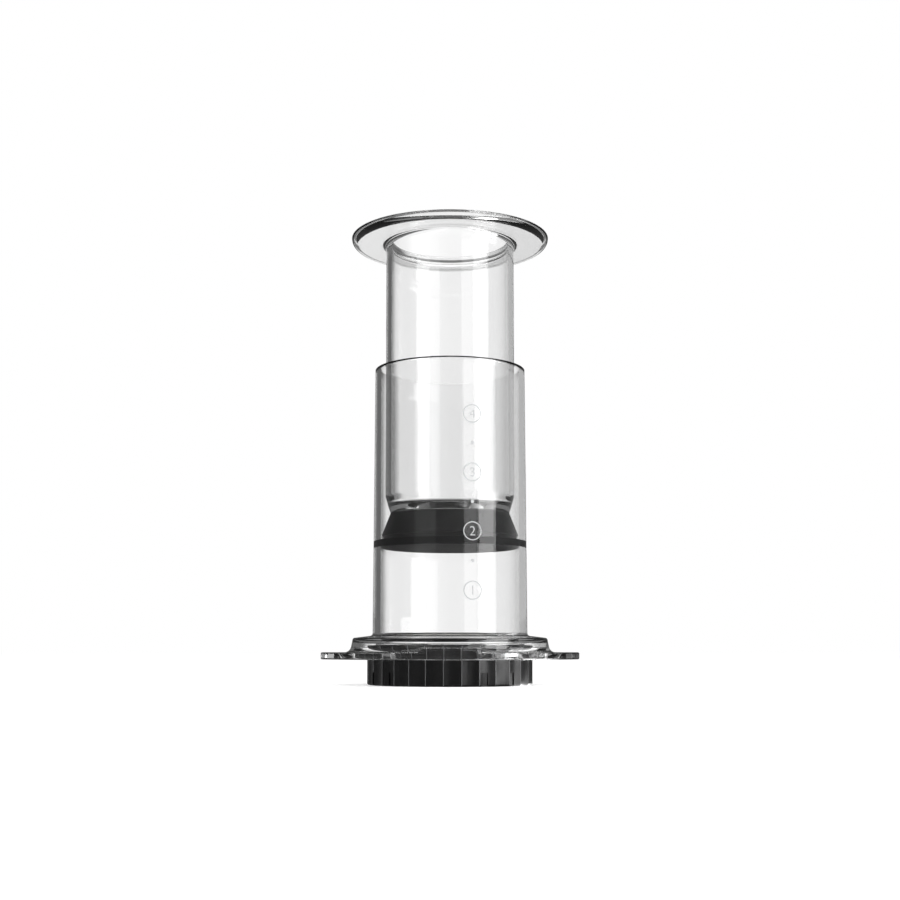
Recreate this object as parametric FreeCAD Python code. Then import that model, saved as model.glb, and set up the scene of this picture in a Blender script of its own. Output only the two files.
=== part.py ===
import FreeCAD, Part
import math
import os

# Manual coffee press. Millimetres, +Z up, origin on the axis at the underside of the filter cap.
# The front is -Y, where the number scale faces.

V = FreeCAD.Vector
ORIGIN = V(0, 0, 0)
UP = V(0, 0, 1)
PAST = 1.0  # how far a cutting shape runs past what it cuts
SUNK = 0.6  # how deep a joined shape starts inside its neighbour, so that the two fuse

# Fits
slip_gap = 0.3  # between plastic parts that turn or slide past each other
seal_gap = 0.1  # between the seal's lip and the bore
seat_gap = 0.1  # between the seal's top face and the plunger's shoulder
clamp_gap = 0.05  # between the end of the chamber and the paper
paper_slack = 0.35  # between the paper's edge and the ring that centres it
tube_gap = 2.1  # between the plunger's tube and the bore
cap_room = 2.65  # between the cap's wall and the hub's skirt at its top
cap_headroom = 1.1  # between the cap's rim and the hub's roof

# Paper filter, the part that the other diameters follow from
paper_r = 31.75
paper_t = 0.2
paper_grip = 0.35  # how far the paper's edge lies outside the end of the chamber

# Filter cap
cap_wall = 1.95
cap_floor_t = 2.4
cap_rim_above_lugs = 4.1
cap_edge_chamfer = 0.9
seat_ring_height = 1.4  # the ring on the floor that centres the paper
flute_count = 30
flute_depth = 0.8
flute_arc_r = 12.0
first_ridge_deg = 7.7  # from the front towards +X
hole_r = 1.1
hole_pitch = 6.4
hole_rings = 4
pocket_height = 5.5
pocket_depth = 0.45  # below the bottom of a flute
pocket_width_deg = 5.8

# Bayonet between the cap and the chamber
lug_count = 4
lug_centre_deg = 35.0  # from the front towards +X
lug_width_deg = 23.0
lug_reach = 1.5  # how far a chamber lug stands out of the spigot
lug_start = 3.75  # from the spigot's end to a chamber lug
lug_height = 2.6
cap_lug_height = 2.6
stop_width_deg = 3.0
ramp_deg = 14.0
ramp_share = 0.35  # of a chamber lug's width

# Chamber
spigot_wall = 1.8
chamber_length = 131.55
tube_foot_wall = 3.1
tube_top_wall = 2.4
rim_round = 0.9
hub_crown_rise = 1.0  # from the hub's edge in to the tube
hub_roof_t = 2.6
skirt_wall = 3.2
skirt_draft = 1.2
hub_edge_round = 0.9
hub_fillet = 2.8
tube_fillet = 1.2

# Six-sided flange
flange_drop = 9.0  # from the hub's edge down to the flange's underside
flange_t = 3.0
flange_reach = 5.75  # from the skirt's foot out to a flat side
flange_corner_round = 4.0
flange_edge_chamfer = 0.6
pad_half_width = 12.7
pad_rise = 1.8
pad_edge_round = 0.6

# Seal, and how high it stands above the paper at rest
seal_lift = 54.8
seal_lip_height = 3.3
seal_lip_chamfer = 0.35
seal_groove_depth = 0.7
seal_groove_height = 1.7
seal_flare_gap = 0.5  # between the top of the flare's foot and the bore
seal_face_t = 3.0

# Plunger
head_overhang = 8.0  # of the head past the neck
head_t = 3.1
neck_wall = 2.6
neck_length = 8.4
well_r = 9.4
taper_height = 7.0
taper_inset = 2.2
tube_wall = 2.15
tube_floor_t = 3.2
floor_chamfer = 1.2
tube_length = 116.5  # from the shoulder to the flange's underside
web_t = 3.0
press_reach = 14.9  # from the tube out to the edge of the pressing flange
press_rim_width = 2.4
press_rim_proud = 0.3
press_top_round = 0.3
press_edge_flat = 0.1  # left upright between the edge's rounds
web_fillet = 2.0
mouth_round = 2.2


# Radii, from the paper outwards
spigot_r = paper_r - paper_grip
bore_r = spigot_r - spigot_wall
lug_r = spigot_r + lug_reach
cap_bore_r = lug_r + slip_gap
cap_lug_r = spigot_r + slip_gap
cap_r = cap_bore_r + cap_wall
hub_edge_r = cap_r + cap_room + skirt_wall
hub_foot_r = hub_edge_r + skirt_draft
flange_apothem = hub_foot_r + flange_reach
tube_r = bore_r - tube_gap
tube_bore_r = tube_r - tube_wall
shoulder_r = tube_r - taper_inset
neck_r = well_r + neck_wall
head_r = neck_r + head_overhang
press_rim_r = tube_r + press_reach

# Heights, from the cap's underside upwards
paper_low = cap_floor_t
paper_high = paper_low + paper_t
spigot_end = paper_high + clamp_gap
lug_low = spigot_end + lug_start
lug_high = lug_low + lug_height
cap_lug_low = lug_high + slip_gap
cap_lug_high = cap_lug_low + cap_lug_height
cap_height = cap_lug_high + cap_rim_above_lugs
cavity_roof = cap_height + cap_headroom
hub_edge_z = cavity_roof + hub_roof_t
hub_crown = hub_edge_z + hub_crown_rise
flange_low = hub_edge_z - flange_drop
flange_high = flange_low + flange_t
chamber_top = spigot_end + chamber_length
seal_low = paper_high + seal_lift
head_low = seal_low + seal_face_t + slip_gap
head_high = head_low + head_t
shoulder_z = head_high + neck_length
tube_floor = shoulder_z + tube_floor_t
web_low = shoulder_z + tube_length
web_high = web_low + web_t


def at_deg(from_front_deg):
    """The angle from +X of a direction that is given from the front towards +X."""
    return from_front_deg - 90


def rounded_corner(before, corner, after, radius):
    """Start, middle and end of the arc that rounds one corner."""
    back = (before - corner).normalize()
    ahead = (after - corner).normalize()
    half = back.getAngle(ahead) / 2
    centre = corner + (back + ahead).normalize() * (radius / math.sin(half))
    start = corner + back * (radius / math.tan(half))
    end = corner + ahead * (radius / math.tan(half))
    middle = centre + (corner - centre).normalize() * radius
    return start, middle, end


def rounded_face(corners, radii):
    """A flat face whose outline has straight sides, with an arc at each corner that has a radius."""
    arcs = []
    for i, corner in enumerate(corners):
        before, after = corners[i - 1], corners[(i + 1) % len(corners)]
        if radii[i]:
            arcs.append(rounded_corner(before, corner, after, radii[i]))
        else:
            arcs.append((corner, None, corner))
    edges = []
    for i, (start, middle, end) in enumerate(arcs):
        if middle:
            edges.append(Part.Arc(start, middle, end).toShape())
        following = arcs[(i + 1) % len(arcs)][0]
        if end.distanceToPoint(following) > 1e-6:
            edges.append(Part.LineSegment(end, following).toShape())
    return Part.Face(Part.Wire(edges))


def profile(points):
    """A face in the XZ plane from points (r, z) or (r, z, corner radius)."""
    corners = [V(p[0], 0, p[1]) for p in points]
    radii = [p[2] if len(p) > 2 else 0 for p in points]
    return rounded_face(corners, radii)


def turned(points):
    """A full turn of a profile about the axis."""
    return profile(points).revolve(ORIGIN, UP, 360)


def sector(points, from_deg, width_deg):
    """A part turn of a profile, from one angle from +X over a width."""
    face = profile(points)
    face.rotate(ORIGIN, UP, from_deg)
    return face.revolve(ORIGIN, UP, width_deg)


def around(shape, count):
    """Copies of a shape at equal steps round the axis."""
    copies = []
    for i in range(count):
        copy = shape.copy()
        copy.rotate(ORIGIN, UP, 360 / count * i)
        copies.append(copy)
    return copies


def ring_piece(inner, outer, low, high, from_deg, width_deg):
    """A plain block that follows the round, between two radii and two heights."""
    return sector([(inner, low), (outer, low), (outer, high), (inner, high)], from_deg, width_deg)


def one_solid(shape):
    """The single solid of a shape, with split faces joined."""
    return shape.removeSplitter().Solids[0]


def make_paper_filter():
    return Part.makeCylinder(paper_r, paper_t, V(0, 0, paper_low))


def cap_shell():
    """The cap's turned form: floor, centring ring and wall."""
    seat_r = paper_r + paper_slack
    seat_top = cap_floor_t + seat_ring_height
    return turned([
        (0, 0),
        (cap_r - cap_edge_chamfer, 0),
        (cap_r, cap_edge_chamfer),
        (cap_r, cap_height),
        (cap_bore_r, cap_height),
        (cap_bore_r, seat_top),
        (seat_r, seat_top),
        (seat_r, cap_floor_t),
        (0, cap_floor_t),
    ])


def cap_flutes():
    """Shallow upright hollows round the cap that leave a sharp ridge between each two."""
    step = 360 / flute_count
    reach = cap_r - flute_depth + flute_arc_r
    flute = Part.makeCylinder(flute_arc_r, cap_height + 2 * PAST, V(reach, 0, -PAST))
    flute.rotate(ORIGIN, UP, at_deg(first_ridge_deg) + step / 2)
    return around(flute, flute_count)


def cap_pockets():
    """Recesses low on the wall, at both ends of each lug, where the mould's cores come in."""
    floor_r = cap_r - flute_depth - pocket_depth
    cuts = []
    for side in (-1, 1):
        middle = at_deg(lug_centre_deg) + side * lug_width_deg / 2
        start = middle - pocket_width_deg / 2
        pocket = ring_piece(floor_r, cap_r + PAST, -PAST, pocket_height, start, pocket_width_deg)
        cuts += around(pocket, lug_count)
    return cuts


def drain_holes():
    """Holes through the floor, in rows that fill a hexagon round the one in the middle."""
    holes = []
    depth = cap_floor_t + 2 * PAST
    row_step = hole_pitch * math.sin(math.radians(60))
    for row in range(-hole_rings, hole_rings + 1):
        in_row = 2 * hole_rings + 1 - abs(row)
        for i in range(in_row):
            x = (i - (in_row - 1) / 2) * hole_pitch
            holes.append(Part.makeCylinder(hole_r, depth, V(x, row * row_step, -PAST)))
    return holes


def cap_lugs():
    """The cap's inward lugs, which lock above those of the chamber."""
    start = at_deg(lug_centre_deg) - lug_width_deg / 2
    outer = cap_bore_r + SUNK
    lug = ring_piece(cap_lug_r, outer, cap_lug_low, cap_lug_high, start, lug_width_deg)
    return around(lug, lug_count)


def make_filter_cap():
    shell = cap_shell().cut(cap_flutes() + cap_pockets() + drain_holes())
    return one_solid(shell.fuse(cap_lugs()))


def chamber_tube():
    """Spigot, hub and tube in one turned form, with a round foot inside the six-sided flange."""
    foot_r = hub_foot_r + hub_fillet + PAST
    return turned([
        (bore_r, spigot_end),
        (spigot_r, spigot_end),
        (spigot_r, cavity_roof),
        (hub_edge_r - skirt_wall, cavity_roof),
        (hub_foot_r - skirt_wall, flange_low),
        (foot_r, flange_low),
        (foot_r, flange_high),
        (hub_foot_r, flange_high, hub_fillet),
        (hub_edge_r, hub_edge_z, hub_edge_round),
        (bore_r + tube_foot_wall, hub_crown, tube_fillet),
        (bore_r + tube_top_wall, chamber_top, rim_round),
        (bore_r, chamber_top, rim_round),
    ])


def flange_plate():
    """The six-sided plate, with two corners on the X axis."""
    corner_r = flange_apothem / math.cos(math.radians(30))
    corners = []
    for i in range(6):
        turn = math.radians(60 * i)
        corners.append(V(corner_r * math.cos(turn), corner_r * math.sin(turn), flange_low))
    plate = rounded_face(corners, [flange_corner_round] * 6).extrude(V(0, 0, flange_t))
    level = [face for face in plate.Faces if abs(face.normalAt(0, 0).z) > 0.99]
    edges = [edge for face in level for edge in face.Edges]
    plate = plate.makeChamfer(flange_edge_chamfer, edges)
    return plate.cut(Part.makeCylinder(hub_foot_r, flange_t, V(0, 0, flange_low)))


def grip_pads():
    """A raised pad on the front and the back side of the flange."""
    near = hub_foot_r - SUNK
    high = flange_high + pad_rise
    side = profile([
        (near, flange_low),
        (flange_apothem - flange_edge_chamfer, flange_low),
        (flange_apothem, flange_low + flange_edge_chamfer),
        (flange_apothem, high, pad_edge_round),
        (near, high),
    ])
    side.rotate(ORIGIN, UP, at_deg(0))
    side.translate(V(-pad_half_width, 0, 0))
    return around(side.extrude(V(2 * pad_half_width, 0, 0)), 2)


def way_in(start):
    """A tilted block that slopes the top of a lug towards its open end."""
    ramp_end = start + lug_width_deg * ramp_share
    length = math.radians(lug_width_deg) * lug_r
    block = Part.makeBox(2 * lug_r, length, lug_height, V(0, -length, 0))
    block.rotate(ORIGIN, V(1, 0, 0), ramp_deg)
    block.translate(V(0, 0, lug_high))
    block.rotate(ORIGIN, UP, ramp_end)
    return block


def chamber_lug():
    """One outward lug with a sloped way in at one end and a stop above the other."""
    inner = spigot_r - SUNK
    start = at_deg(lug_centre_deg) - lug_width_deg / 2
    stop_start = start + lug_width_deg + math.degrees(slip_gap / cap_lug_r)
    stop_end = stop_start + stop_width_deg
    shelf = ring_piece(inner, lug_r, lug_low, lug_high, start, stop_end - start)
    stop = ring_piece(inner, lug_r, lug_low, cap_lug_high, stop_start, stop_width_deg)
    return shelf.cut(way_in(start)).fuse(stop)


def make_chamber():
    body = chamber_tube().fuse([flange_plate()] + grip_pads())
    return one_solid(body.fuse(around(chamber_lug(), lug_count)))


def make_plunger_seal():
    """A rubber cup: closed below, with a hole above that grips the plunger's neck."""
    lip_r = bore_r - seal_gap
    flare_r = bore_r - seal_flare_gap
    groove_r = flare_r - seal_groove_depth
    lip_high = seal_low + seal_lip_height
    flare_low = lip_high + seal_groove_height
    top = shoulder_z - seat_gap
    hollow_low = seal_low + seal_face_t
    hollow_high = head_high + slip_gap
    return turned([
        (0, seal_low),
        (lip_r - seal_lip_chamfer, seal_low),
        (lip_r, seal_low + seal_lip_chamfer),
        (lip_r, lip_high),
        (groove_r, lip_high),
        (groove_r, flare_low),
        (flare_r, flare_low),
        (shoulder_r, top),
        (neck_r + slip_gap, top),
        (neck_r + slip_gap, hollow_high),
        (head_r + slip_gap, hollow_high),
        (head_r + slip_gap, hollow_low),
        (0, hollow_low),
    ])


def make_plunger():
    """Head, neck, closed tube and pressing flange in one turned form."""
    bead_r = press_rim_r - press_rim_width
    bead_high = web_high + press_rim_proud
    under_round = bead_high - web_low - press_top_round - press_edge_flat
    return turned([
        (0, head_low),
        (head_r, head_low),
        (head_r, head_high),
        (neck_r, head_high),
        (neck_r, shoulder_z),
        (shoulder_r, shoulder_z),
        (tube_r, shoulder_z + taper_height),
        (tube_r, web_low, web_fillet),
        (press_rim_r, web_low, under_round),
        (press_rim_r, bead_high, press_top_round),
        (bead_r, bead_high),
        (bead_r - press_rim_proud, web_high),
        (tube_bore_r, web_high, mouth_round),
        (tube_bore_r, tube_floor + floor_chamfer),
        (tube_bore_r - floor_chamfer, tube_floor),
        (well_r, tube_floor),
        (well_r, head_high),
        (0, head_high),
    ])


def main():
    parts = {
        "chamber": make_chamber(),
        "plunger": make_plunger(),
        "plunger_seal": make_plunger_seal(),
        "filter_cap": make_filter_cap(),
        "paper_filter": make_paper_filter(),
    }
    os.makedirs("parts", exist_ok=True)
    for name, shape in parts.items():
        shape.exportStep("parts/" + name + ".step")
        print(name, shape.isValid(), round(shape.Volume / 1000, 2), "cm3", len(shape.Solids))


main()
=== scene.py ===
import math

import bmesh
import bpy
from mathutils import Matrix, Vector


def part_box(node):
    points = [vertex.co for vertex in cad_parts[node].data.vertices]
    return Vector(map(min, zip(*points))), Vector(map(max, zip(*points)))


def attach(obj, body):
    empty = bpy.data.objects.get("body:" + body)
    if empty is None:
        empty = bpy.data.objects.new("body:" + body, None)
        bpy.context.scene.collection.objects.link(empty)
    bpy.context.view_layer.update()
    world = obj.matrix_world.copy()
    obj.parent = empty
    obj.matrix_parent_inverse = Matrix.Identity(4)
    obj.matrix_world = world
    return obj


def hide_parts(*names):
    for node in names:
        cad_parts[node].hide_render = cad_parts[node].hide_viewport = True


# Manual coffee press. The frame is in metres; sizes below are in millimetres.
# The front is -Y. Angles called "from the front" run from -Y towards +X.

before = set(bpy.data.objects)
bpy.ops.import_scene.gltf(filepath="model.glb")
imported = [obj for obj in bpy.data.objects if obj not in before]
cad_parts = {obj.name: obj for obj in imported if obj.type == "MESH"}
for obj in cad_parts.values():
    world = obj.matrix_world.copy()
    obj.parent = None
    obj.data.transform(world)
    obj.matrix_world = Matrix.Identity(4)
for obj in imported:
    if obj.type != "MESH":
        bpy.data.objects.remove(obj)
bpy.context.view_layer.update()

MM = 0.001
TURN_STEPS = 288  # round a full turn of a clear or rubber piece
PAPER_STEPS = 144  # round the filter paper
RING_STEPS = 64  # round a ring of the number scale
HOLE_STEPS = 24  # round a drain hole and a dot of the number scale
ROUND_STEPS = 5  # along a rounded corner of an outline
FLANGE_STEPS = 14  # along a corner of the six-sided flange
FLANGE_EDGE_STEPS = 3  # along the rounded edges of the flange
PAD_END_STEPS = 4  # along the rounded ends of a grip pad
ARC = 0.5  # the profile that makes a bevel a circular arc
SMOOTH_DEG = 32.0  # edges sharper than this stay sharp
FLUTE_SMOOTH_DEG = 24.0  # the same for the cap, whose flutes meet in blunt ridges
PAST = 1.0  # how far a cutting shape runs past what it cuts
SUNK = 0.6  # how deep a joined shape starts inside its neighbour
JOIN_STEP = 0.02  # keeps the faces of two joined shapes out of one plane
WELD = 0.001  # points nearer than this are one
NEAR = 0.05  # how far from a stated place an edge is still found there
TINY = 1e-7  # in metres, shorter than any real edge
RIDGE_HIGHLIGHT = 1  # the place in the cap's list of materials of the lighter grey on its ridges, a painted highlight
WHITE = (1, 1, 1, 1)


def reach(node):
    """Half the depth of a CAD node: its outer radius, if it is round."""
    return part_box(node)[1].y / MM


def bottom(node):
    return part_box(node)[0].z / MM


def top(node):
    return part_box(node)[1].z / MM


# Fits
slip_gap = 0.3  # between plastic parts that turn or slide past each other
tube_gap = 2.1  # between the plunger's tube and the bore
paper_slack = 0.35  # between the paper's edge and the ring that centres it
paper_grip = 0.35  # how far the paper's edge lies outside the end of the chamber
cap_headroom = 1.1  # between the cap's rim and the hub's roof
lip_squeeze = 0.02  # how far the seal's lip is pressed into the bore

# Chamber
spigot_end = bottom("chamber")
chamber_top = top("chamber")
spigot_wall = 1.8
tube_foot_wall = 3.1
tube_top_wall = 2.4
rim_outer_round = 0.25  # finer than the solid's, for the rim's thin dark line
rim_inner_round = 1.2  # softer than the solid's
skirt_wall = 3.2
skirt_draft = 1.2
hub_edge_round = 0.9
hub_fillet = 2.8
hub_fillet_used = 0.98  # of the fillet, so that its end stays short of the outline's end
tube_fillet = 1.2
small_round = 0.4
flange_t = 3.0
flange_reach = 5.75
flange_corner_round = 4.0
flange_edge_round = 0.7
flange_drop = 9.0  # from the hub's edge down to the flange's underside
hub_crown_rise = 1.0  # from the hub's edge in to the tube
hub_roof_t = 2.6
hub_roof_z = top("filter_cap") + cap_headroom
hub_edge_z = hub_roof_z + hub_roof_t
flange_low = hub_edge_z - flange_drop
flange_high = flange_low + flange_t
pad_half_width = 12.7
pad_rise = 1.8
pad_round = 0.7
pad_end_round = 0.6
pad_root = 0.35  # of the skirt's wall, how deep a pad starts in it
pad_foot = 0.4  # of the flange's thickness, how high a pad starts in it
flange_apothem = reach("chamber")
hub_foot_r = flange_apothem - flange_reach
hub_edge_r = hub_foot_r - skirt_draft
cap_r = reach("filter_cap")
paper_r = reach("paper_filter")
spigot_r = paper_r - paper_grip
bore_r = spigot_r - spigot_wall

# Plunger
head_low = bottom("plunger")
head_t = 3.1
head_r = 20.0
neck_r = 12.0
neck_length = 8.4
well_r = 9.4
taper_height = 7.0
taper_inset = 2.2
taper_round = 3.0
tube_wall = 2.15
tube_floor_t = 3.2
tube_floor_round = 2.0
tube_r = bore_r - tube_gap
press_rim_r = reach("plunger")
press_rim_width = 2.4
press_rim_proud = 0.3
press_top_round = 0.3
press_edge_flat = 0.1  # left upright between the edge's rounds
web_t = 3.0
web_fillet = 2.0
mouth_round = 1.0  # smaller than the solid's, for a narrow line round the mouth
head_high = head_low + head_t
shoulder_z = head_high + neck_length
shoulder_r = tube_r - taper_inset
web_high = top("plunger") - press_rim_proud
web_low = web_high - web_t

# Seal
seal_low = bottom("plunger_seal")
seal_top = top("plunger_seal")
seal_lip_height = 3.3
seal_lip_chamfer = 0.35
seal_lip_low_round = 0.15
seal_lip_high_round = 0.2
seal_groove_depth = 0.7
seal_groove_height = 1.7
seal_groove_round = 0.3
seal_flare_gap = 0.5  # between the top of the flare's foot and the bore
seal_face_t = 3.0

# Filter cap and paper
cap_wall = 1.95
cap_floor_t = bottom("paper_filter")
cap_height = top("filter_cap")
cap_edge_round = 0.9
seat_ring_height = 1.4
seat_ring_round = 0.3
flute_count = 30
flute_steps = 8  # across one flute
flute_depth = 0.8
flute_arc_r = 12.0
first_ridge_deg = 7.7
ridge_half = 0.18  # half the width of a ridge's blunt tip
ridge_cut = 0.05  # what is worn off it
hole_r = 1.1
hole_pitch = 6.4
hole_rings = 4
pocket_height = 5.5
pocket_depth = 0.45
pocket_width_deg = 5.8
cap_bore_r = cap_r - cap_wall
paper_high = top("paper_filter")
paper_edge_round = 0.09

# Bayonet
lug_count = 4
lug_centre_deg = 35.0
lug_width_deg = 23.0
lug_start = 3.75  # from the spigot's end to a chamber lug
lug_height = 2.6
cap_lug_height = 2.6
stop_width_deg = 3.0
stop_step = 0.1  # how much less deep a stop starts in the spigot than its lug
ramp_deg = 14.0
ramp_share = 0.35  # of a chamber lug's width
lug_low = spigot_end + lug_start
lug_high = lug_low + lug_height
cap_lug_low = lug_high + slip_gap
cap_lug_high = cap_lug_low + cap_lug_height
lug_r = cap_bore_r - slip_gap
cap_lug_r = spigot_r + slip_gap

# Number scale on the chamber
scale_deg = 16.3
scale_figures = 4
scale_first_z = 38.6
scale_step = 23.97
scale_ring_r = 3.85
scale_line = 0.42
scale_dot_r = 0.7
figure_height = 3.9
figure_thinned = 0.04
figure_share = 0.7  # a figure's height, as a share of the letter size that gives it
slice_width = 0.4  # of the strips that let the print follow the round
slices_each_way = 9
ink_t = 0.05


def linear(code):
    """Linear colour from an sRGB hex code."""
    parts = [int(code[i:i + 2], 16) / 255 for i in (1, 3, 5)]
    return [c / 12.92 if c <= 0.04045 else ((c + 0.055) / 1.055) ** 2.4 for c in parts] + [1.0]


def node(tree, kind, inputs=None, **settings):
    """Adds a node. Settings are its properties; inputs are values, or sockets to link from."""
    made = tree.nodes.new(kind)
    for name, value in settings.items():
        setattr(made, name, value)
    for name, value in (inputs or {}).items():
        if isinstance(value, bpy.types.NodeSocket):
            tree.links.new(value, made.inputs[name])
        else:
            made.inputs[name].default_value = value
    return made


def new_material(name):
    material = bpy.data.materials.new(name)
    material.use_nodes = True
    material.node_tree.nodes.clear()
    return material


def clear_copolyester(name):
    """Clear copolyester, injection moulded and polished: a faint grey in its depth, and a polish
    that waves a little, as moulded walls do."""
    material = new_material(name)
    tree = material.node_tree
    place = node(tree, "ShaderNodeTexCoord").outputs["Object"]
    wave_length = 14 * MM
    wave = node(tree, "ShaderNodeTexNoise", {"Vector": place, "Scale": 1 / wave_length, "Detail": 1.0})
    bump = node(tree, "ShaderNodeBump", {
        "Height": wave.outputs["Fac"],
        "Strength": 0.05,
        "Distance": 0.4 * MM,
    })
    shader = node(tree, "ShaderNodeBsdfPrincipled", {
        "Base Color": WHITE,
        "Roughness": 0.01,
        "IOR": 1.54,
        "Transmission Weight": 1.0,
        "Normal": bump.outputs["Normal"],
    })
    depth = node(tree, "ShaderNodeVolumeAbsorption", {"Color": linear("#c4c8c8"), "Density": 5.0})
    node(tree, "ShaderNodeOutputMaterial", {
        "Surface": shader.outputs["BSDF"],
        "Volume": depth.outputs["Volume"],
    })
    return material


def moulded_rubber(name):
    """Black thermoplastic rubber, moulded: a soft broad sheen over a matt grain, which is drawn
    coarser than the real one so that it shows."""
    material = new_material(name)
    tree = material.node_tree
    place = node(tree, "ShaderNodeTexCoord").outputs["Object"]
    grain_width = 0.5 * MM
    grain = node(tree, "ShaderNodeTexNoise", {"Vector": place, "Scale": 1 / grain_width, "Detail": 4.0})
    bump = node(tree, "ShaderNodeBump", {
        "Height": grain.outputs["Fac"],
        "Strength": 0.15,
        "Distance": 0.1 * MM,
    })
    rough = node(tree, "ShaderNodeMapRange", {"Value": grain.outputs["Fac"], "To Min": 0.55, "To Max": 0.68})
    shader = node(tree, "ShaderNodeBsdfPrincipled", {
        "Base Color": linear("#1c1c1d"),
        "Roughness": rough.outputs["Result"],
        "IOR": 1.45,
        "Normal": bump.outputs["Normal"],
    })
    node(tree, "ShaderNodeOutputMaterial", {"Surface": shader.outputs["BSDF"]})
    return material


def moulded_polypropylene(name, colour):
    """Black polypropylene from a fine mould: a faint even grain that softens its gloss, drawn
    coarser than the real one so that it shows. Made in a lighter grey, it is a painted highlight
    on the cap's ridges."""
    material = new_material(name)
    tree = material.node_tree
    place = node(tree, "ShaderNodeTexCoord").outputs["Object"]
    grain_width = 0.35 * MM
    grain = node(tree, "ShaderNodeTexNoise", {"Vector": place, "Scale": 1 / grain_width, "Detail": 3.0})
    bump = node(tree, "ShaderNodeBump", {
        "Height": grain.outputs["Fac"],
        "Strength": 0.2,
        "Distance": 0.1 * MM,
    })
    rough = node(tree, "ShaderNodeMapRange", {"Value": grain.outputs["Fac"], "To Min": 0.2, "To Max": 0.3})
    shader = node(tree, "ShaderNodeBsdfPrincipled", {
        "Base Color": linear(colour),
        "Roughness": rough.outputs["Result"],
        "IOR": 1.49,
        "Normal": bump.outputs["Normal"],
    })
    node(tree, "ShaderNodeOutputMaterial", {"Surface": shader.outputs["BSDF"]})
    return material


def filter_paper(name):
    """White filter paper: matt, with the cloudy mottle of pressed fibres."""
    material = new_material(name)
    tree = material.node_tree
    place = node(tree, "ShaderNodeTexCoord").outputs["Object"]
    cloud_width = 0.8 * MM
    fibre = node(tree, "ShaderNodeTexNoise", {"Vector": place, "Scale": 1 / cloud_width, "Detail": 6.0})
    tone = node(tree, "ShaderNodeMix", {
        "Factor": fibre.outputs["Fac"],
        6: linear("#e6e4de"),
        7: linear("#f4f3ef"),
    }, data_type="RGBA")
    bump = node(tree, "ShaderNodeBump", {
        "Height": fibre.outputs["Fac"],
        "Strength": 0.4,
        "Distance": 0.1 * MM,
    })
    shader = node(tree, "ShaderNodeBsdfPrincipled", {
        "Base Color": tone.outputs[2],
        "Roughness": 0.9,
        "Normal": bump.outputs["Normal"],
    })
    node(tree, "ShaderNodeOutputMaterial", {"Surface": shader.outputs["BSDF"]})
    return material


def pad_print(name):
    """Pale grey ink, pad printed: thin, a little uneven."""
    material = new_material(name)
    tree = material.node_tree
    place = node(tree, "ShaderNodeTexCoord").outputs["Object"]
    speckle_width = 0.6 * MM
    speckle = node(tree, "ShaderNodeTexNoise", {"Vector": place, "Scale": 1 / speckle_width, "Detail": 3.0})
    tone = node(tree, "ShaderNodeMix", {
        "Factor": speckle.outputs["Fac"],
        6: linear("#c0c3c4"),
        7: linear("#d0d2d2"),
    }, data_type="RGBA")
    shader = node(tree, "ShaderNodeBsdfPrincipled", {
        "Base Color": tone.outputs[2],
        "Roughness": 0.5,
    })
    node(tree, "ShaderNodeOutputMaterial", {"Surface": shader.outputs["BSDF"]})
    return material


def round_corner(bm, vert, radius, steps=ROUND_STEPS):
    """Rounds one corner of an outline with an arc of that radius."""
    ways = [edge.other_vert(vert).co - vert.co for edge in vert.link_edges]
    run = radius * MM / math.tan(ways[0].angle(ways[1]) / 2)
    bmesh.ops.bevel(bm, geom=[vert], offset=run, offset_type="OFFSET", affect="VERTICES",
                    segments=steps, profile=ARC, material=-1)


def round_edges(bm, edges, radius, steps):
    """Rounds the given edges."""
    bmesh.ops.bevel(bm, geom=edges, offset=radius * MM, offset_type="OFFSET", affect="EDGES",
                    segments=steps, profile=ARC, material=-1)


def rotate(bm, turn):
    """Turns all that the bmesh holds about the press's axis."""
    bmesh.ops.rotate(bm, verts=bm.verts[:], matrix=Matrix.Rotation(turn, 3, "Z"))


def verts_of(geom):
    return [part for part in geom if isinstance(part, bmesh.types.BMVert)]


def outline(bm, corners, closed):
    """A wire in the XZ plane through (r, z) or (r, z, round) corners."""
    verts = [bm.verts.new((c[0] * MM, 0, c[1] * MM)) for c in corners]
    pairs = list(zip(verts, verts[1:]))
    if closed:
        pairs.append((verts[-1], verts[0]))
    for pair in pairs:
        bm.edges.new(pair)
    for vert, corner in zip(verts, corners):
        if len(corner) > 2:
            round_corner(bm, vert, corner[2])


def spin_outline(bm, steps=TURN_STEPS):
    """A full turn of all that the bmesh holds, closed at the axis."""
    geom = bm.verts[:] + bm.edges[:]
    bmesh.ops.spin(bm, geom=geom, cent=(0, 0, 0), axis=(0, 0, 1), angle=math.tau, steps=steps,
                   use_merge=True)
    bmesh.ops.remove_doubles(bm, verts=bm.verts[:], dist=WELD * MM)


def finished(bm, name, material, body, smooth_deg=SMOOTH_DEG):
    """Makes the piece from its bmesh, shades it, and hangs it on its body."""
    bmesh.ops.recalc_face_normals(bm, faces=bm.faces[:])
    mesh = bpy.data.meshes.new(name)
    bm.to_mesh(mesh)
    bm.free()
    for face in mesh.polygons:
        face.use_smooth = True
    mesh.set_sharp_from_angle(angle=math.radians(smooth_deg))
    piece = bpy.data.objects.new(name, mesh)
    bpy.context.scene.collection.objects.link(piece)
    mesh.materials.append(material)
    level = piece.modifiers.new("even_normals", "WEIGHTED_NORMAL")
    level.keep_sharp = True
    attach(piece, body)
    return piece


def add_bmesh(bm, extra):
    """Adds all of another bmesh, which is used up."""
    mesh = bpy.data.meshes.new("part_of_a_piece")
    extra.to_mesh(mesh)
    extra.free()
    bm.from_mesh(mesh)
    bpy.data.meshes.remove(mesh)


def around(bm, count):
    """Copies a bmesh at equal steps round the axis."""
    whole = bmesh.new()
    for i in range(count):
        copy = bm.copy()
        rotate(copy, math.tau / count * i)
        add_bmesh(whole, copy)
    bm.free()
    return whole


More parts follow.
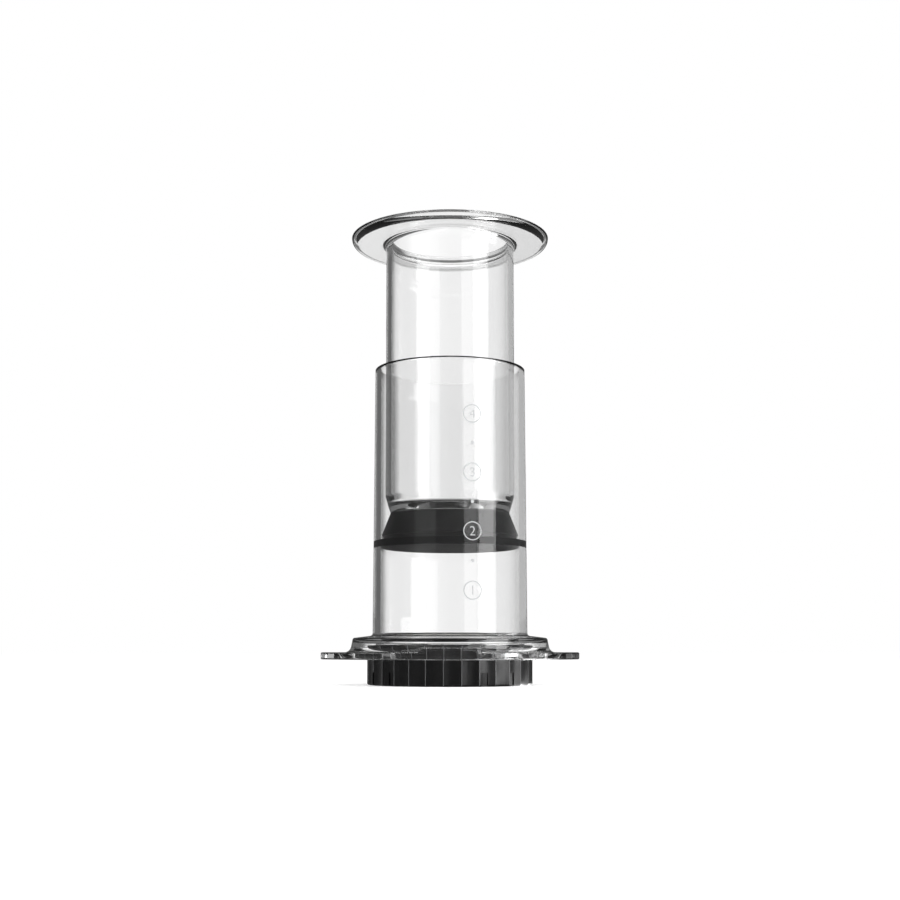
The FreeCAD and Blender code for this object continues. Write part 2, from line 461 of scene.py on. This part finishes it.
def combined(bm, other, operation):
    """Joins a closed bmesh to another or cuts it with the other, at a scale of one unit to the
    millimetre, where small steps stay apart. Empty material places keep the faces' material
    numbers through the change. Both are used up."""
    pieces = []
    for form in (bm, other):
        bmesh.ops.scale(form, verts=form.verts[:], vec=Vector((1, 1, 1)) / MM)
        mesh = bpy.data.meshes.new("part_of_a_piece")
        for _ in range(RIDGE_HIGHLIGHT + 1):
            mesh.materials.append(None)
        form.to_mesh(mesh)
        form.free()
        pieces.append(bpy.data.objects.new("part_of_a_piece", mesh))
        bpy.context.scene.collection.objects.link(pieces[-1])
    change = pieces[0].modifiers.new("change", "BOOLEAN")
    change.object = pieces[1]
    change.operation = operation
    change.solver = "EXACT"
    bpy.context.view_layer.update()
    ready = pieces[0].evaluated_get(bpy.context.evaluated_depsgraph_get())
    made = bmesh.new()
    made.from_mesh(ready.to_mesh())
    ready.to_mesh_clear()
    bmesh.ops.scale(made, verts=made.verts[:], vec=Vector((1, 1, 1)) * MM)
    for piece in pieces:
        bpy.data.meshes.remove(piece.data)
    return made


def loop_at(bm, radius, z):
    """The edges of the open ring at a radius and a height."""
    found = []
    for edge in bm.edges:
        start = edge.verts[0].co / MM
        off_level = abs(start.z - z)
        off_radius = abs(start.xy.length - radius)
        if len(edge.link_faces) == 1 and off_level < NEAR and off_radius < NEAR:
            found.append(edge)
    return found


def chamber_outline(bm):
    """Adds spigot, hub and tube in one open line, from the flange's top round to its underside,
    and returns the radius at which it starts and ends."""
    foot_r = hub_foot_r + hub_fillet
    outline(bm, [
        (foot_r, flange_high),
        (hub_foot_r, flange_high, hub_fillet * hub_fillet_used),
        (hub_edge_r, hub_edge_z, hub_edge_round),
        (bore_r + tube_foot_wall, hub_edge_z + hub_crown_rise, tube_fillet),
        (bore_r + tube_top_wall, chamber_top, rim_outer_round),
        (bore_r, chamber_top, rim_inner_round),
        (bore_r, spigot_end, small_round),
        (spigot_r, spigot_end, small_round),
        (spigot_r, hub_roof_z, small_round),
        (hub_edge_r - skirt_wall, hub_roof_z, small_round),
        (hub_foot_r - skirt_wall, flange_low, small_round),
        (foot_r, flange_low),
    ], closed=False)
    return foot_r


def six_sided_outline(bm):
    """Adds the plate's rounded six-sided outline, with two corners on the X axis, and returns
    its edges."""
    corner_r = flange_apothem / math.cos(math.radians(30))
    flat = bmesh.new()
    bmesh.ops.create_circle(flat, cap_ends=False, segments=6, radius=corner_r * MM)
    rotate(flat, math.radians(90))
    for vert in flat.verts[:]:
        round_corner(flat, vert, flange_corner_round, FLANGE_STEPS)
    bmesh.ops.translate(flat, verts=flat.verts[:], vec=(0, 0, flange_low * MM))
    before = set(bm.edges)
    add_bmesh(bm, flat)
    return [edge for edge in bm.edges if edge not in before]


def add_plate(bm, foot_r):
    """The six-sided plate, filled in to the open edges round the hub's foot."""
    low_edges = six_sided_outline(bm)
    wall = bmesh.ops.extrude_edge_only(bm, edges=low_edges)["geom"]
    high_verts = verts_of(wall)
    high_edges = [part for part in wall if isinstance(part, bmesh.types.BMEdge)
                  and part.verts[0] in high_verts and part.verts[1] in high_verts]
    bmesh.ops.translate(bm, verts=high_verts, vec=(0, 0, flange_t * MM))
    for edges, z in ((low_edges, flange_low), (high_edges, flange_high)):
        both_rings = edges + loop_at(bm, foot_r, z)
        bmesh.ops.triangle_fill(bm, edges=both_rings, use_beauty=True, normal=(0, 0, 1))
    bmesh.ops.recalc_face_normals(bm, faces=bm.faces[:])
    round_edges(bm, low_edges + high_edges, flange_edge_round, FLANGE_EDGE_STEPS)


def grip_pads():
    """A raised pad for the front side of the flange and one for the back."""
    near = hub_foot_r - pad_root * skirt_wall
    far = flange_apothem - JOIN_STEP
    low = flange_low + pad_foot * flange_t
    high = flange_high + pad_rise
    pad = bmesh.new()
    outline(pad, [(near, low), (far, low), (far, high, pad_round), (near, high)], closed=True)
    side = bmesh.ops.contextual_create(pad, geom=pad.edges[:])["faces"]
    bmesh.ops.translate(pad, verts=pad.verts[:], vec=(0, -pad_half_width * MM, 0))
    raised = bmesh.ops.extrude_face_region(pad, geom=side, use_keep_orig=True)["geom"]
    bmesh.ops.translate(pad, verts=verts_of(raised), vec=(0, 2 * pad_half_width * MM, 0))
    bmesh.ops.recalc_face_normals(pad, faces=pad.faces[:])
    ends = []
    for edge in pad.edges:
        first, second = (vert.co for vert in edge.verts)
        at_one_end = abs(first.y - second.y) < TINY
        above_foot = max(first.z, second.z) > (low + JOIN_STEP) * MM
        out_of_hub = max(first.x, second.x) > (near + JOIN_STEP) * MM
        if at_one_end and above_foot and out_of_hub:
            ends.append(edge)
    round_edges(pad, ends, pad_end_round, PAD_END_STEPS)
    rotate(pad, math.radians(-90))
    return around(pad, 2)


def sector(corners, from_deg, width_deg):
    """A block that follows the round, turned from a closed outline in steps of a degree. Its
    angles run from the front."""
    block = bmesh.new()
    outline(block, corners, closed=True)
    face = bmesh.ops.contextual_create(block, geom=block.edges[:])["faces"]
    rotate(block, math.radians(from_deg - 90))
    geom = block.verts[:] + block.edges[:] + face
    bmesh.ops.spin(block, geom=geom, cent=(0, 0, 0), axis=(0, 0, 1), angle=math.radians(width_deg),
                   steps=round(width_deg))
    bmesh.ops.recalc_face_normals(block, faces=block.faces[:])
    return block


def block_corners(inner, outer, low, high):
    """The corners of a plain block between two radii and two heights."""
    return [(inner, low), (outer, low), (outer, high), (inner, high)]


def chamber_lugs():
    """The spigot's outward lugs, each sloped at its open end and with a stop above the other."""
    inner = spigot_r - SUNK
    start = lug_centre_deg - lug_width_deg / 2
    stop_start = start + lug_width_deg + math.degrees(slip_gap / cap_lug_r)
    length = stop_start + stop_width_deg - start
    lug = sector(block_corners(inner, lug_r, lug_low, lug_high), start, length)
    fall_per_deg = math.tan(math.radians(ramp_deg)) * math.radians(1) * lug_r
    ramp_end = start + lug_width_deg * ramp_share
    for vert in lug.verts:
        turn = math.degrees(math.atan2(vert.co.y, vert.co.x)) + 90
        if vert.co.z > (lug_low + WELD) * MM and turn < ramp_end:
            vert.co.z -= (ramp_end - turn) * fall_per_deg * MM
    bmesh.ops.triangulate(lug, faces=lug.faces[:])
    corners = block_corners(inner + stop_step, lug_r, lug_high - SUNK, cap_lug_high)
    stop = sector(corners, stop_start, stop_width_deg)
    return around(combined(lug, stop, "UNION"), lug_count)


def make_chamber(material):
    """Clear tube, hub, spigot with its lugs, and six-sided flange with its pads, one moulding."""
    bm = bmesh.new()
    foot_r = chamber_outline(bm)
    spin_outline(bm)
    add_plate(bm, foot_r)
    bmesh.ops.recalc_face_normals(bm, faces=bm.faces[:])
    bm = combined(bm, chamber_lugs(), "UNION")
    bm = combined(bm, grip_pads(), "UNION")
    piece = finished(bm, "clear_chamber", material, "chamber")
    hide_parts("chamber")


def make_plunger(material):
    """Head, neck, closed tube and pressing flange, one clear moulding."""
    bead_r = press_rim_r - press_rim_width
    bead_high = web_high + press_rim_proud
    under_round = bead_high - web_low - press_top_round - press_edge_flat
    tube_floor = shoulder_z + tube_floor_t
    tube_bore_r = tube_r - tube_wall
    bm = bmesh.new()
    outline(bm, [
        (0, head_low),
        (head_r, head_low, small_round),
        (head_r, head_high, small_round),
        (neck_r, head_high, small_round),
        (neck_r, shoulder_z, small_round),
        (shoulder_r, shoulder_z, small_round),
        (tube_r, shoulder_z + taper_height, taper_round),
        (tube_r, web_low, web_fillet),
        (press_rim_r, web_low, under_round),
        (press_rim_r, bead_high, press_top_round),
        (bead_r, bead_high, small_round),
        (bead_r - press_rim_proud, web_high, small_round),
        (tube_bore_r, web_high, mouth_round),
        (tube_bore_r, tube_floor, tube_floor_round),
        (well_r, tube_floor, small_round),
        (well_r, head_high, small_round),
        (0, head_high),
    ], closed=False)
    spin_outline(bm)
    piece = finished(bm, "clear_plunger", material, "plunger")
    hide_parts("plunger")


def make_seal(material):
    """Rubber cup with a lip below that presses on the bore."""
    lip_r = bore_r + lip_squeeze
    lip_high = seal_low + seal_lip_height
    flare_low = lip_high + seal_groove_height
    flare_r = bore_r - seal_flare_gap
    groove_r = flare_r - seal_groove_depth
    hollow_low = seal_low + seal_face_t
    hollow_high = head_high + slip_gap
    bm = bmesh.new()
    outline(bm, [
        (0, seal_low),
        (lip_r - seal_lip_chamfer, seal_low, seal_lip_low_round),
        (lip_r, seal_low + seal_lip_chamfer, seal_lip_low_round),
        (lip_r, lip_high, seal_lip_high_round),
        (groove_r, lip_high, seal_groove_round),
        (groove_r, flare_low, seal_groove_round),
        (flare_r, flare_low, small_round),
        (shoulder_r, seal_top, small_round),
        (neck_r + slip_gap, seal_top, small_round),
        (neck_r + slip_gap, hollow_high, small_round),
        (head_r + slip_gap, hollow_high, small_round),
        (head_r + slip_gap, hollow_low, small_round),
        (0, hollow_low),
    ], closed=False)
    spin_outline(bm)
    piece = finished(bm, "rubber_seal", material, "seal")
    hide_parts("plunger_seal")


def cap_shell():
    """The cap's turned form, with an upright column of points on each ridge of its wall."""
    seat_r = paper_r + paper_slack
    seat_top = cap_floor_t + seat_ring_height
    bm = bmesh.new()
    outline(bm, [
        (0, 0),
        (cap_r, 0, cap_edge_round),
        (cap_r, cap_height, small_round),
        (cap_bore_r, cap_height, small_round),
        (cap_bore_r, seat_top, seat_ring_round),
        (seat_r, seat_top, seat_ring_round),
        (seat_r, cap_floor_t),
        (0, cap_floor_t),
    ], closed=False)
    rotate(bm, math.radians(first_ridge_deg - 90))
    spin_outline(bm, flute_count * flute_steps)
    return bm


def past_first_ridge(place):
    """How far round the cap a place is from the first ridge."""
    return math.atan2(place.y, place.x) - math.radians(first_ridge_deg - 90)


def draw_in_flutes(bm):
    """Draws the cap's outer wall in between its ridges, which keep a narrow blunt tip: the columns
    next to each ridge move up to it."""
    flute = math.tau / flute_count
    column = flute / flute_steps
    half_tip = ridge_half / cap_r
    arc_centre_r = cap_r - flute_depth + flute_arc_r
    mid_wall_r = cap_bore_r + cap_wall / 2
    for vert in bm.verts:
        radius = vert.co.xy.length
        if radius > mid_wall_r * MM:
            past_ridge = (past_first_ridge(vert.co) + column / 2) % flute - column / 2
            on_ridge = past_ridge < column / 2
            off_middle = past_ridge - flute / 2
            shift = 0
            if not on_ridge and abs(off_middle) > flute / 2 - 1.5 * column:
                shift = math.copysign(column - half_tip, off_middle)
            across = arc_centre_r * math.sin(off_middle + shift)
            wall_r = arc_centre_r * math.cos(off_middle + shift) - math.sqrt(flute_arc_r ** 2 - across ** 2)
            if on_ridge:
                wall_r -= ridge_cut
            moved = Matrix.Rotation(shift, 3, "Z") @ vert.co
            share = 1 - (cap_r - wall_r) * MM / radius
            vert.co = Vector((moved.x * share, moved.y * share, vert.co.z))
    bmesh.ops.recalc_face_normals(bm, faces=bm.faces[:])


def mark_painted_ridge_highlights(bm):
    """Gives the ridges' blunt tips their own lighter grey material: a painted highlight."""
    flute = math.tau / flute_count
    for face in bm.faces:
        middle = face.calc_center_median()
        off_ridge = abs((past_first_ridge(middle) + flute / 2) % flute - flute / 2)
        outward = Vector((middle.x, middle.y, 0)).normalized()
        faces_out = face.normal.dot(outward) > math.cos(math.radians(60))
        if faces_out and off_ridge < ridge_half / cap_r:
            face.material_index = RIDGE_HIGHLIGHT


def cap_openings():
    """What is cut from the cap: drain holes through its floor, and pockets low on its wall."""
    cuts = bmesh.new()
    depth = cap_floor_t + 2 * PAST
    row_step = hole_pitch * math.sin(math.radians(60))
    for row in range(-hole_rings, hole_rings + 1):
        in_row = 2 * hole_rings + 1 - abs(row)
        for i in range(in_row):
            x = (i - (in_row - 1) / 2) * hole_pitch
            place = Matrix.Translation(Vector((x, row * row_step, cap_floor_t / 2)) * MM)
            bmesh.ops.create_cone(cuts, cap_ends=True, segments=HOLE_STEPS, radius1=hole_r * MM,
                                  radius2=hole_r * MM, depth=depth * MM, matrix=place)
    floor_r = cap_r - flute_depth - pocket_depth
    for side in (-1, 1):
        start = lug_centre_deg + side * lug_width_deg / 2 - pocket_width_deg / 2
        corners = block_corners(floor_r, cap_r + PAST, -PAST, pocket_height)
        add_bmesh(cuts, around(sector(corners, start, pocket_width_deg), lug_count))
    return cuts


def make_cap(material, ridge_highlight):
    """Fluted cap with a perforated floor, a ring that centres the paper, and inward lugs."""
    start = lug_centre_deg - lug_width_deg / 2
    corners = block_corners(cap_lug_r, cap_bore_r + SUNK, cap_lug_low, cap_lug_high)
    lugs = around(sector(corners, start, lug_width_deg), lug_count)
    shell = cap_shell()
    draw_in_flutes(shell)
    mark_painted_ridge_highlights(shell)
    bm = combined(shell, lugs, "UNION")
    bm = combined(bm, cap_openings(), "DIFFERENCE")
    piece = finished(bm, "fluted_cap", material, "cap", smooth_deg=FLUTE_SMOOTH_DEG)
    # the second material: a lighter grey on the ridges' tips, a painted highlight
    piece.data.materials.append(ridge_highlight)
    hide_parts("filter_cap")


def make_paper(material):
    """The round filter paper on the cap's floor."""
    bm = bmesh.new()
    outline(bm, [
        (0, cap_floor_t),
        (paper_r, cap_floor_t, paper_edge_round),
        (paper_r, paper_high, paper_edge_round),
        (0, paper_high),
    ], closed=False)
    spin_outline(bm, PAPER_STEPS)
    piece = finished(bm, "round_filter_paper", material, "cap")
    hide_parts("paper_filter")


def figure_mesh(text):
    """One figure, flat and centred."""
    curve = bpy.data.curves.new("figure", "FONT")
    curve.body = text
    curve.align_x = "CENTER"
    curve.size = figure_height * MM / figure_share
    curve.offset = -figure_thinned * MM
    holder = bpy.data.objects.new("figure", curve)
    mesh = bpy.data.meshes.new_from_object(holder)
    bpy.data.objects.remove(holder)
    bm = bmesh.new()
    bm.from_mesh(mesh)
    bpy.data.meshes.remove(mesh)
    xs = [vert.co.x for vert in bm.verts]
    ys = [vert.co.y for vert in bm.verts]
    middle = Vector(((min(xs) + max(xs)) / 2, (min(ys) + max(ys)) / 2, 0))
    bmesh.ops.translate(bm, verts=bm.verts[:], vec=-middle)
    return bm


def tube_r_at(z):
    """The chamber's outer radius at a height of its tapering tube."""
    foot_z = hub_edge_z + hub_crown_rise
    share = (z - foot_z) / (chamber_top - foot_z)
    return bore_r + tube_foot_wall + (tube_top_wall - tube_foot_wall) * share


def flat_scale():
    """The number scale, still flat: figures in rings, with a dot between each two."""
    flat = bmesh.new()
    for i in range(scale_figures):
        up = Vector((0, (scale_first_z + i * scale_step) * MM, 0))
        figure = figure_mesh(str(i + 1))
        bmesh.ops.translate(figure, verts=figure.verts[:], vec=up)
        add_bmesh(flat, figure)
        ring = bmesh.new()
        for radius in (scale_ring_r, scale_ring_r - scale_line):
            bmesh.ops.create_circle(ring, segments=RING_STEPS, radius=radius * MM,
                                    matrix=Matrix.Translation(up))
        bmesh.ops.bridge_loops(ring, edges=ring.edges[:])
        add_bmesh(flat, ring)
        if i < scale_figures - 1:
            half_way = up + Vector((0, scale_step / 2 * MM, 0))
            bmesh.ops.create_circle(flat, cap_ends=True, segments=HOLE_STEPS, radius=scale_dot_r * MM,
                                    matrix=Matrix.Translation(half_way))
    return flat


def make_scale(material):
    """The number scale, printed on the chamber's front: cut in upright strips, given the print's
    thickness, and laid round the tube."""
    bm = flat_scale()
    for i in range(-slices_each_way, slices_each_way + 1):
        geom = bm.verts[:] + bm.edges[:] + bm.faces[:]
        bmesh.ops.bisect_plane(bm, geom=geom, dist=TINY, plane_co=(i * slice_width * MM, 0, 0),
                               plane_no=(1, 0, 0))
    raised = bmesh.ops.extrude_face_region(bm, geom=bm.faces[:], use_keep_orig=True)["geom"]
    bmesh.ops.translate(bm, verts=verts_of(raised), vec=(0, 0, ink_t * MM))
    for vert in bm.verts:
        across, z, out = vert.co / MM
        radius = tube_r_at(z) - ink_t / 2 + out
        turn = math.radians(scale_deg) + across / radius
        vert.co = Vector((radius * math.sin(turn), -radius * math.cos(turn), z)) * MM
    finished(bm, "number_scale", material, "chamber")


def make_camera():
    """The photographed view: the eye level with the flange, and tall lines nearly upright."""
    distance = 0.588
    height = 0.0146
    looks_up = math.radians(5.1)
    data = bpy.data.cameras.new("camera")
    data.sensor_width = 36.0
    data.lens = 55.42
    data.shift_y = 0.085
    data.clip_start = 0.01
    camera = bpy.data.objects.new("camera", data)
    bpy.context.scene.collection.objects.link(camera)
    camera.location = (0, -distance, height)
    camera.rotation_euler = (math.radians(90) + looks_up, 0, 0)
    bpy.context.scene.camera = camera


# Studio, in metres. Grey tones of its upright panels, as (degrees from behind the press towards +X,
# tone): as seen through the clear walls, as mirrored, and as the floor shows them to mirrored light
through = [
    (-150, 0.77), (-145, 0.15), (-120, 0.15), (-115, 0.77),
    (-100, 0.77), (-95, 0.15), (-80, 0.15), (-75, 0.77),
    (-55, 0.77), (-50, 0.08), (-22, 0.15), (-14, 0.77),
    (-3.7, 0.77), (-3.2, 0.88), (-1.8, 0.86), (-1.0, 0.77),
    (8, 0.77), (12, 0.74), (25, 0.55), (50, 0.38), (55, 0.77),
    (85, 0.77), (90, 0.2), (110, 0.2), (115, 0.77),
    (150, 0.77), (155, 0.2), (170, 0.2), (175, 0.77),
]
mirrored = [
    (-120, 0.2), (-90, 0.06), (-20, 0.12), (-12, 0.7), (8, 0.77),
    (12, 0.62), (25, 0.46), (60, 0.38), (90, 0.06), (120, 0.2),
]
mirrored_floor = [(-90, 0.05), (86, 0.05), (93, 1), (124, 1), (134, 0.05), (180, 0.05)]
panel_light = 1.3
floor_r = 6.0
floor_steps = 96
floor_white = (0.85, 0.85, 0.85, 1)
floor_glow = 0.5  # added for the eye, so that the floor is white
floor_glint = 4.5  # strength of the tones that the floor shows to mirrored light
panels_start = 0.4  # how far off the floor begins to turn into panels, seen through the clear walls
panels_full = 0.9  # and how far off it has
room_light = 0.6  # on what is matt
mirrored_room_light = 0.1

# Soft boxes: the two angles from the front that one spans, its elevation, height and strength
soft_boxes = {
    "left_soft_box": (-54, -21, 12, 1.0, 0.15),
    "middle_soft_box": (21, 41, 12, 1.0, 0.7),
    "right_soft_box": (43, 71, 12, 1.0, 2.4),
    "top_soft_box": (-30, 30, 80, 0.9, 1.0),
}
box_distance = 0.9
box_aim = Vector((0, 0, 0.09))
watts_per_m2 = 4  # of a soft box with a strength of 1


def turn_round(tree, place):
    """How far round the press a place or a direction is, in radians from behind it towards +X."""
    parts = node(tree, "ShaderNodeSeparateXYZ", {"Vector": place})
    across, back = parts.outputs["X"], parts.outputs["Y"]
    return node(tree, "ShaderNodeMath", {0: across, 1: back}, operation="ARCTAN2").outputs[0]


def tones_round(tree, turn, tones):
    """A list of grey tones, laid round the press."""
    share = node(tree, "ShaderNodeMapRange", {"Value": turn, "From Min": -math.pi, "From Max": math.pi})
    ring = node(tree, "ShaderNodeValToRGB", {"Fac": share.outputs["Result"]})
    stops = ring.color_ramp.elements
    for deg, _ in tones[1:-1]:
        stops.new((deg + 180) / 360)
    for stop, (deg, tone) in zip(stops, tones):
        stop.position = (deg + 180) / 360
        stop.color = (tone, tone, tone, 1)
    return ring.outputs["Color"]


def white_floor(name):
    """Matt white that keeps the press's soft shadow. Through the clear walls its far part shows the
    studio's panels, and to light that was mirrored before it shows tones of its own."""
    material = new_material(name)
    tree = material.node_tree
    path = node(tree, "ShaderNodeLightPath")
    passed = path.outputs["Is Transmission Ray"]
    place = node(tree, "ShaderNodeTexCoord").outputs["Object"]
    turn = turn_round(tree, place)
    matt = node(tree, "ShaderNodeBsdfDiffuse", {"Color": floor_white})
    seen = node(tree, "ShaderNodeMath", {0: path.outputs["Is Camera Ray"], 1: passed}, operation="MAXIMUM")
    glow_for = node(tree, "ShaderNodeMath", {0: seen.outputs[0], 1: floor_glow}, operation="MULTIPLY")
    glow = node(tree, "ShaderNodeEmission", {"Strength": glow_for.outputs[0]})
    plain = node(tree, "ShaderNodeAddShader", {0: matt.outputs[0], 1: glow.outputs[0]})
    panels = node(tree, "ShaderNodeEmission", {
        "Color": tones_round(tree, turn, through),
        "Strength": panel_light,
    })
    far = node(tree, "ShaderNodeVectorMath", {0: place}, operation="LENGTH").outputs["Value"]
    fade = node(tree, "ShaderNodeMapRange", {"Value": far, "From Min": panels_start, "From Max": panels_full})
    panelled = node(tree, "ShaderNodeMath", {0: fade.outputs["Result"], 1: passed}, operation="MULTIPLY")
    lit = node(tree, "ShaderNodeMixShader", {
        "Fac": panelled.outputs[0],
        1: plain.outputs[0],
        2: panels.outputs[0],
    })
    glint = node(tree, "ShaderNodeEmission", {
        "Color": tones_round(tree, turn, mirrored_floor),
        "Strength": floor_glint,
    })
    depth = path.outputs["Glossy Depth"]
    was_mirrored = node(tree, "ShaderNodeMath", {0: depth, 1: 0.5}, operation="GREATER_THAN")
    shown = node(tree, "ShaderNodeMixShader", {
        "Fac": was_mirrored.outputs[0],
        1: lit.outputs[0],
        2: glint.outputs[0],
    })
    node(tree, "ShaderNodeOutputMaterial", {"Surface": shown.outputs[0]})
    return material


def make_floor(material):
    """Plain round floor under the press."""
    bm = bmesh.new()
    bmesh.ops.create_circle(bm, cap_ends=True, segments=floor_steps, radius=floor_r)
    mesh = bpy.data.meshes.new("floor")
    bm.to_mesh(mesh)
    bm.free()
    floor = bpy.data.objects.new("floor", mesh)
    bpy.context.scene.collection.objects.link(floor)
    mesh.materials.append(material)


def make_soft_box(name, from_deg, to_deg, elevation_deg, height, strength):
    """A lamp with a flat face that looks at the press, unseen by the camera."""
    width = 2 * box_distance * math.tan(math.radians(to_deg - from_deg) / 2)
    data = bpy.data.lights.new(name, "AREA")
    data.shape = "RECTANGLE"
    data.size = width
    data.size_y = height
    data.energy = watts_per_m2 * strength * width * height
    lamp = bpy.data.objects.new(name, data)
    bpy.context.scene.collection.objects.link(lamp)
    lamp.visible_camera = False
    turn = math.radians((from_deg + to_deg) / 2)
    lift = math.radians(elevation_deg)
    way = Vector((math.sin(turn) * math.cos(lift), -math.cos(turn) * math.cos(lift), math.sin(lift)))
    lamp.location = box_aim + way * box_distance
    lamp.rotation_euler = way.to_track_quat("Z", "Y").to_euler()


def make_world():
    """A white room for the eye. Through the clear walls it shows the studio's panels, and what is
    mirrored shows a dim room."""
    world = bpy.data.worlds.new("studio")
    world.use_nodes = True
    tree = world.node_tree
    tree.nodes.clear()
    turn = turn_round(tree, node(tree, "ShaderNodeTexCoord").outputs["Generated"])
    path = node(tree, "ShaderNodeLightPath")
    depth = path.outputs["Glossy Depth"]
    was_mirrored = node(tree, "ShaderNodeMath", {0: depth, 1: 0.5}, operation="GREATER_THAN")
    panels = node(tree, "ShaderNodeMix", {
        "Factor": was_mirrored.outputs[0],
        6: tones_round(tree, turn, through),
        7: tones_round(tree, turn, mirrored),
    }, data_type="RGBA")
    shown = node(tree, "ShaderNodeBackground", {"Color": WHITE, "Strength": room_light})
    backgrounds = (
        ("Is Glossy Ray", WHITE, mirrored_room_light),
        ("Is Transmission Ray", panels.outputs[2], panel_light),
        ("Is Camera Ray", WHITE, 1.0),
    )
    for ray, colour, strength in backgrounds:
        other = node(tree, "ShaderNodeBackground", {"Color": colour, "Strength": strength})
        shown = node(tree, "ShaderNodeMixShader", {
            "Fac": path.outputs[ray],
            1: shown.outputs[0],
            2: other.outputs[0],
        })
    node(tree, "ShaderNodeOutputWorld", {"Surface": shown.outputs[0]})
    bpy.context.scene.world = world


bpy.context.scene.view_settings.view_transform = "Standard"

make_camera()
make_floor(white_floor("white_floor"))
make_world()
for box_name, box in soft_boxes.items():
    make_soft_box(box_name, *box)

clear = clear_copolyester("clear_copolyester")
polypropylene = moulded_polypropylene("moulded_polypropylene", "#131314")
# a lighter grey for the tips of the cap's ridges: a painted highlight
ridge_highlight = moulded_polypropylene("polypropylene_painted_ridge_highlight", "#6c6d6e")

make_chamber(clear)
make_plunger(clear)
make_seal(moulded_rubber("moulded_rubber"))
make_cap(polypropylene, ridge_highlight)
make_paper(filter_paper("filter_paper"))
make_scale(pad_print("pad_print"))
